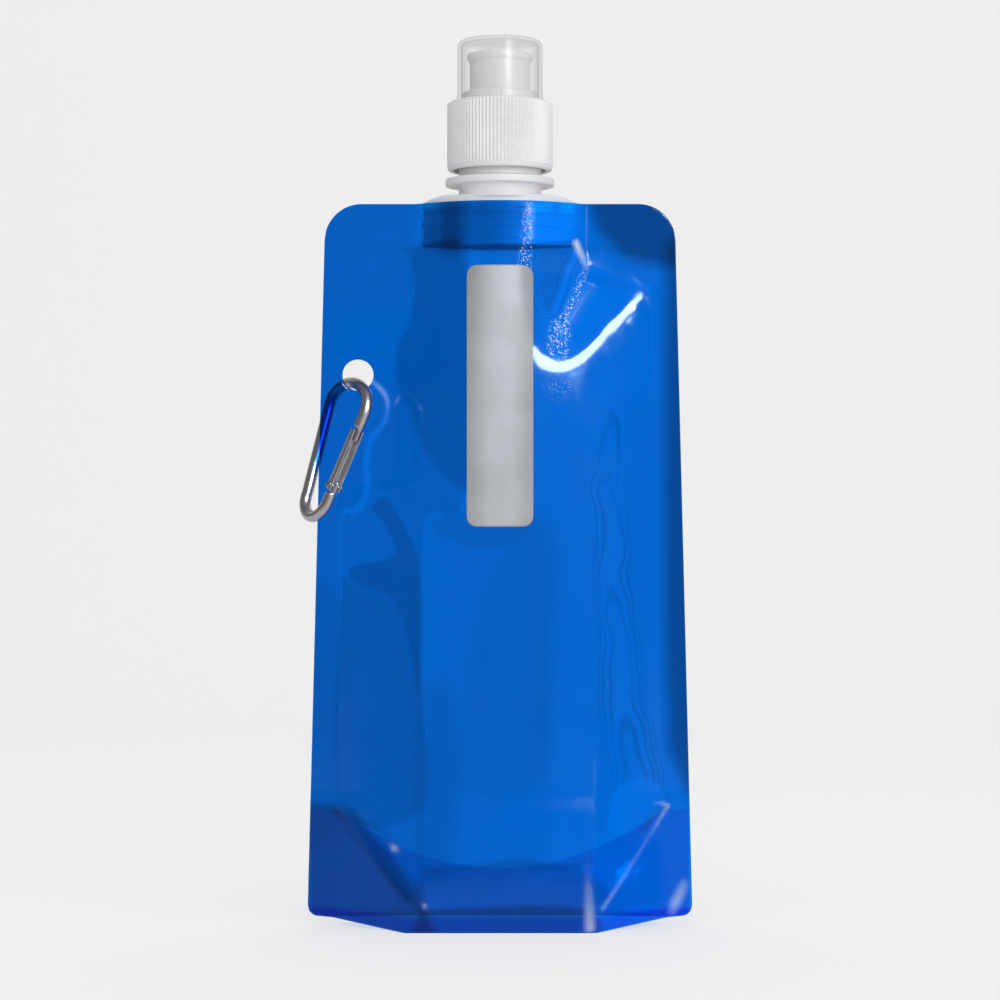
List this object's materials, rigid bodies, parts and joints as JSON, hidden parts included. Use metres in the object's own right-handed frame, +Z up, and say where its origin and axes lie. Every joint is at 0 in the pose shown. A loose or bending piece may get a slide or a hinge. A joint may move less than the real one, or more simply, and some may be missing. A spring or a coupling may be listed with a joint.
{
  "type": "collapsible water bottle",
  "caption": "Flat-folding stand-up film bottle with a welded spout, ribbed screw cap, push-pull nozzle, clear dust cap and a carabiner through its side seal.",
  "frame": {"origin": "on the spout's axis, at the height of the surface that the bottle stands on", "axes": "+Z up along the spout's axis, -Y out of the front with the label, +X to the right seen from the front"},
  "size_m": [0.1198, 0.0352, 0.2693],
  "materials": {
    "film": "glossy see-through blue laminate film",
    "label": "satin silver write-on face",
    "white_plastic": "moulded white plastic",
    "clear_plastic": "cloudy clear moulded plastic",
    "liner": "foamed sealing disc",
    "aluminium": "polished wire",
    "steel": "plain steel"
  },
  "bodies": {
    "pouch": {"front_film": "film", "back_film": "film", "bottom_gusset": "film", "spout_fitment": "white_plastic"},
    "front_wall": {"write_on_label": "label"},
    "liner": {"cap_liner": "liner"},
    "cap": {"screw_cap": "white_plastic"},
    "nozzle": {"drinking_nozzle": "white_plastic"},
    "cover": {"dust_cap": "clear_plastic"},
    "carabiner": {"carabiner_body": "aluminium", "gate_pin": "steel"},
    "gate": {"carabiner_gate": "aluminium", "gate_spring": "steel"}
  },
  "joints": [
    {"name": "pouch_collapse", "type": "slide", "parent": "pouch", "child": "front_wall", "axis": [0, 1, 0], "range_m": [0, 0.009], "deforming": ["front_film", "back_film", "bottom_gusset"]},
    {"name": "cap_lift", "type": "slide", "parent": "pouch", "child": "liner", "axis": [0, 0, 1], "range_m": [0, 0.02121]},
    {"name": "cap_turn", "type": "hinge", "parent": "liner", "child": "cap", "pos_m": [0, 0, 0.2484], "axis": [0, 0, 1], "range_deg": [0, 2400]},
    {"name": "nozzle_pull", "type": "slide", "parent": "cap", "child": "nozzle", "axis": [0, 0, 1], "range_m": [0, 0.0045]},
    {"name": "dust_cap_off", "type": "slide", "parent": "cap", "child": "cover", "axis": [0, 0, 1], "range_m": [0, 0.03]},
    {"name": "carabiner_swing", "type": "hinge", "parent": "pouch", "child": "carabiner", "pos_m": [-0.04331, 0, 0.1674], "axis": [0, 1, 0], "range_deg": [0, 95]},
    {"name": "gate_open", "type": "hinge", "parent": "carabiner", "child": "gate", "pos_m": [-0.05021, -0.00693, 0.13347], "axis": [-0.7456, -0.6018, 0.2862], "range_deg": [0, 17], "stiffness_Nm_per_rad": 0.02, "springref_deg": -28.65}
  ],
  "couplings": [
    {"joint": "cap_lift", "follows": "cap_turn", "m_per_rad": 0.00050611},
    {"joint": "nozzle_pull", "follows": "dust_cap_off", "ratio": 0.15}
  ]
}
